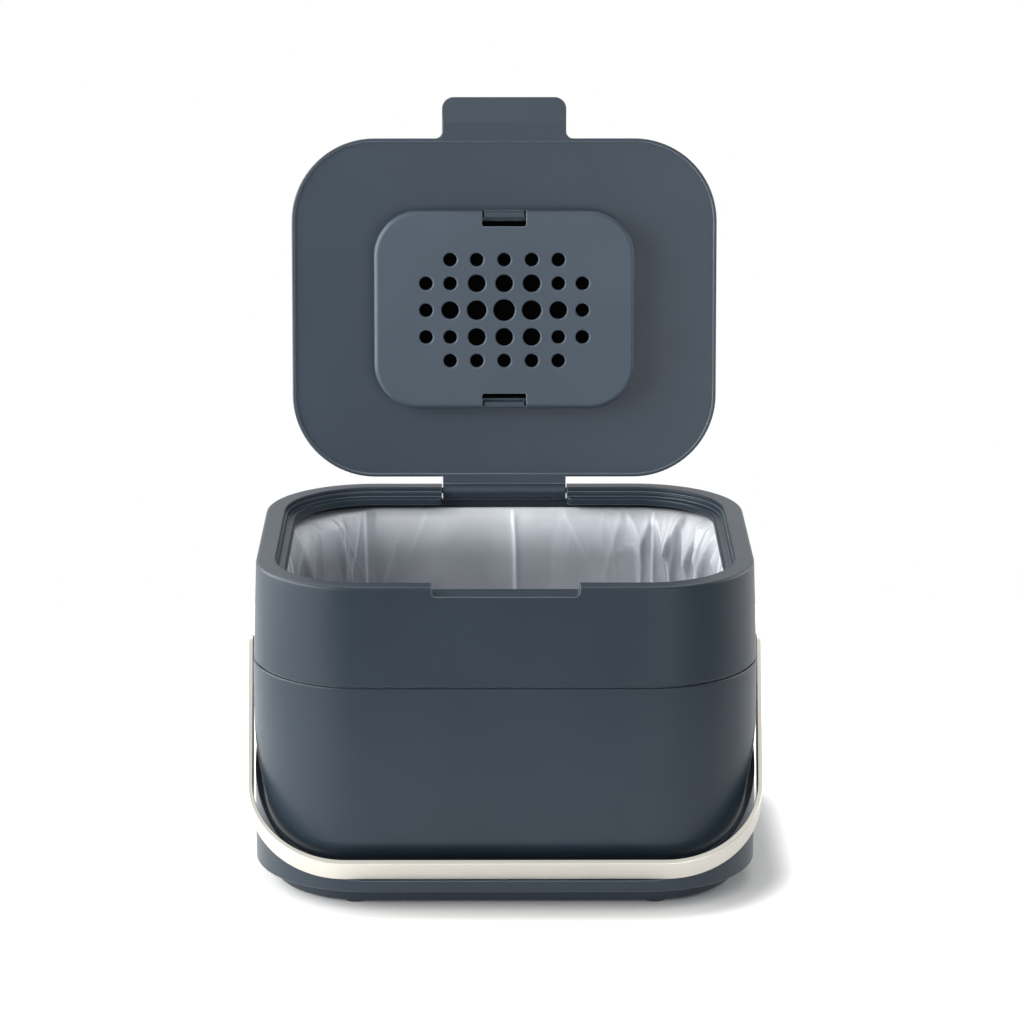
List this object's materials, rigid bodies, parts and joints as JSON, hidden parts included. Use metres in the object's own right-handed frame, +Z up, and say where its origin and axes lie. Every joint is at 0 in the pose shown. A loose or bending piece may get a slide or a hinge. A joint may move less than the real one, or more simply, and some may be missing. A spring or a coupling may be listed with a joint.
{
  "type": "food waste caddy",
  "caption": "Worktop food waste caddy: double-wall bucket, lift-off collar holding a film liner, hinged lid with vented odour filter, and a steel strap handle nested in its lower front.",
  "frame": {"origin": "on the ground, under the middle of the bucket's body", "axes": "+Z up, -Y the front with the handle's bar, +X to the right seen from the front"},
  "size_m": [0.2548, 0.2331, 0.3574],
  "materials": {
    "body_plastic": "fine moulded texture, graphite",
    "collar_plastic": "fine moulded texture, graphite",
    "lid_plastic": "fine moulded texture, graphite",
    "cover_plastic": "fine moulded texture, graphite",
    "base_plastic": "moulded, dark graphite",
    "bush_plastic": "plain moulded",
    "foot_rubber": "plain",
    "liner_film": "thin translucent film",
    "strap_steel": "brushed along its length",
    "stud_steel": "turned",
    "pin_steel": "drawn wire",
    "filter_felt": "carbon felt"
  },
  "bodies": {
    "bucket": {"bucket": "body_plastic", "base_plate": "base_plastic", "foot_front_left": "foot_rubber", "foot_front_right": "foot_rubber", "foot_rear_left": "foot_rubber", "foot_rear_right": "foot_rubber", "pivot_bush_left": "bush_plastic", "pivot_bush_right": "bush_plastic", "liner": "liner_film"},
    "handle": {"handle_strap": "strap_steel", "pivot_stud_left": "stud_steel", "pivot_stud_right": "stud_steel"},
    "collar": {"collar": "collar_plastic", "hinge_pin": "pin_steel"},
    "lid": {"lid": "lid_plastic"},
    "filter": {"filter_cover": "cover_plastic", "carbon_filter": "filter_felt"}
  },
  "joints": [
    {"name": "handle_pivot", "type": "hinge", "parent": "bucket", "child": "handle", "pos_m": [0, 0, 0.1009], "axis": [-1, 0, 0], "range_deg": [0, 127.5]},
    {"name": "collar_lift", "type": "slide", "parent": "bucket", "child": "collar", "axis": [0, 0, 1], "range_m": [0, 0.0365]},
    {"name": "lid_hinge", "type": "hinge", "parent": "collar", "child": "lid", "pos_m": [0, 0.0942, 0.1573], "axis": [1, 0, 0], "range_deg": [0, 98]},
    {"name": "filter_pull", "type": "slide", "parent": "lid", "child": "filter", "axis": [0, -0.9903, 0.1392], "range_m": [0, 0.025]}
  ]
}
